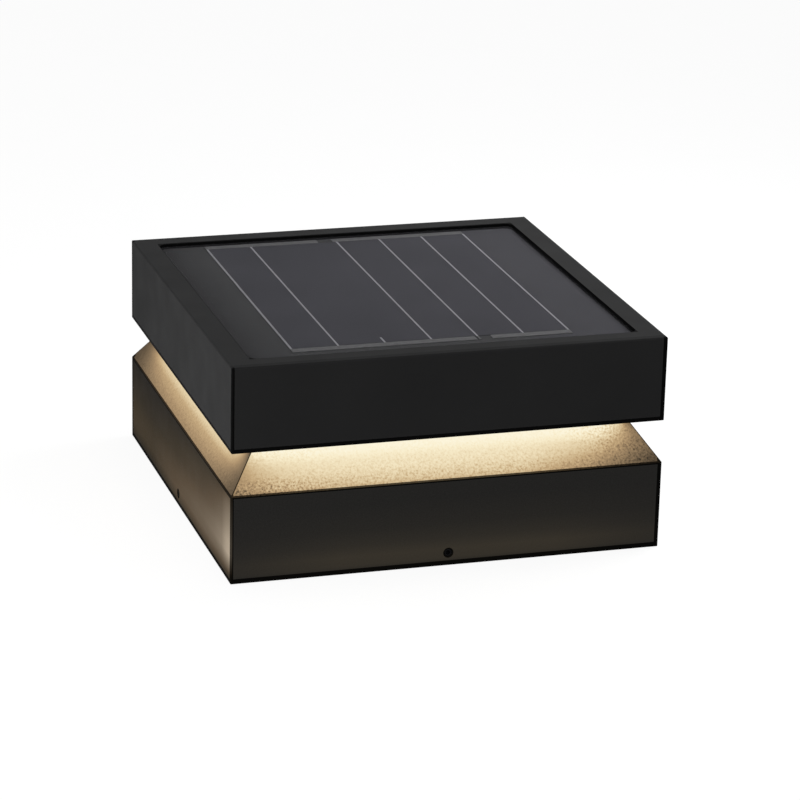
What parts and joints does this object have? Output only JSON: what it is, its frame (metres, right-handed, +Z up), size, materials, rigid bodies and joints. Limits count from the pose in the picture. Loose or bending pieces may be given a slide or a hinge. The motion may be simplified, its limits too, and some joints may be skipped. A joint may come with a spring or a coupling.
{
  "type": "solar post cap light",
  "caption": "Square solar post cap light: a hollow base that drops over a deck post, a sloped shoulder lit from a ring of LEDs under a thick square head, and a solar panel on top.",
  "frame": {"origin": "centre of the square formed by the base's lower rim, on the plane of the rim", "axes": "+Z up, the way out of the post; -Y is the front and -X the left side of the picture; +X is the right side"},
  "size_m": [0.15, 0.15, 0.075],
  "materials": {
    "powder_coat_base": "matte",
    "powder_coat_head": "satin",
    "cover_sheet": "satin",
    "silicon_cell": "satin",
    "tinned_ribbon": "satin",
    "panel_board": "matte",
    "black_sealant": "satin",
    "black_rubber": "matte",
    "foam_gasket": "matte",
    "silicone_gasket": "satin",
    "bare_aluminium": "satin",
    "stainless_steel": "satin",
    "black_oxide_steel": "satin",
    "spring_steel": "satin",
    "nickel_plate": "satin",
    "opal_diffuser": "satin",
    "led_board_white": "satin",
    "led_phosphor": "gloss",
    "black_abs": "matte",
    "cell_wrap": "gloss",
    "button_red": "gloss",
    "circuit_board": "satin",
    "chip_epoxy": "matte",
    "ferrite": "matte",
    "capacitor_can": "gloss",
    "white_nylon": "satin",
    "lead_insulation_red": "gloss",
    "lead_insulation_black": "gloss"
  },
  "bodies": {
    "light": {"base_housing": "powder_coat_base", "base_screws": "stainless_steel", "base_screw_washers": "stainless_steel", "head_housing": "powder_coat_head", "panel_cover": "cover_sheet", "solar_cells": "silicon_cell", "cell_ribbons": "tinned_ribbon", "panel_backboard": "panel_board", "panel_seal": "black_sealant", "wire_grommet": "black_rubber", "light_tray": "bare_aluminium", "tray_gasket": "foam_gasket", "tray_screws": "stainless_steel", "diffuser_frame": "opal_diffuser", "led_board_front": "led_board_white", "led_board_back": "led_board_white", "led_board_left": "led_board_white", "led_board_right": "led_board_white", "led_chips_front": "led_phosphor", "led_chips_back": "led_phosphor", "led_chips_left": "led_phosphor", "led_chips_right": "led_phosphor", "led_jumpers": "lead_insulation_red", "battery_box": "black_abs", "battery_cell": "cell_wrap", "battery_contact_plus": "nickel_plate", "battery_contact_minus": "nickel_plate", "battery_spring": "nickel_plate", "battery_door": "black_abs", "battery_door_seal": "silicone_gasket", "battery_door_screws": "stainless_steel", "switch_bezel": "nickel_plate", "switch_seal": "black_rubber", "switch_nut": "nickel_plate", "switch_rear": "black_abs", "button_spring": "spring_steel", "control_board": "circuit_board", "board_screws": "stainless_steel", "controller_chip": "chip_epoxy", "power_inductor": "ferrite", "filter_capacitors": "capacitor_can", "lead_connectors": "white_nylon", "panel_leads": "lead_insulation_black", "battery_leads": "lead_insulation_red", "switch_leads": "lead_insulation_red", "led_leads": "lead_insulation_black"},
    "power_button": {"power_button": "button_red"},
    "set_screw_front": {"set_screw_front": "black_oxide_steel"},
    "set_screw_back": {"set_screw_back": "black_oxide_steel"},
    "set_screw_left": {"set_screw_left": "black_oxide_steel"},
    "set_screw_right": {"set_screw_right": "black_oxide_steel"}
  },
  "joints": [
    {"name": "power_button_press", "type": "slide", "parent": "light", "child": "power_button", "axis": [0, 0, 1], "range_m": [0, 0.0015], "stiffness_N_per_m": 400, "springref_m": -0.001, "deforming": ["button_spring"]},
    {"name": "set_screw_front_travel", "type": "slide", "parent": "light", "child": "set_screw_front", "axis": [0, 1, 0], "range_m": [0, 0.003]},
    {"name": "set_screw_back_travel", "type": "slide", "parent": "light", "child": "set_screw_back", "axis": [0, -1, 0], "range_m": [0, 0.003]},
    {"name": "set_screw_left_travel", "type": "slide", "parent": "light", "child": "set_screw_left", "axis": [1, 0, 0], "range_m": [0, 0.003]},
    {"name": "set_screw_right_travel", "type": "slide", "parent": "light", "child": "set_screw_right", "axis": [-1, 0, 0], "range_m": [0, 0.003]}
  ]
}
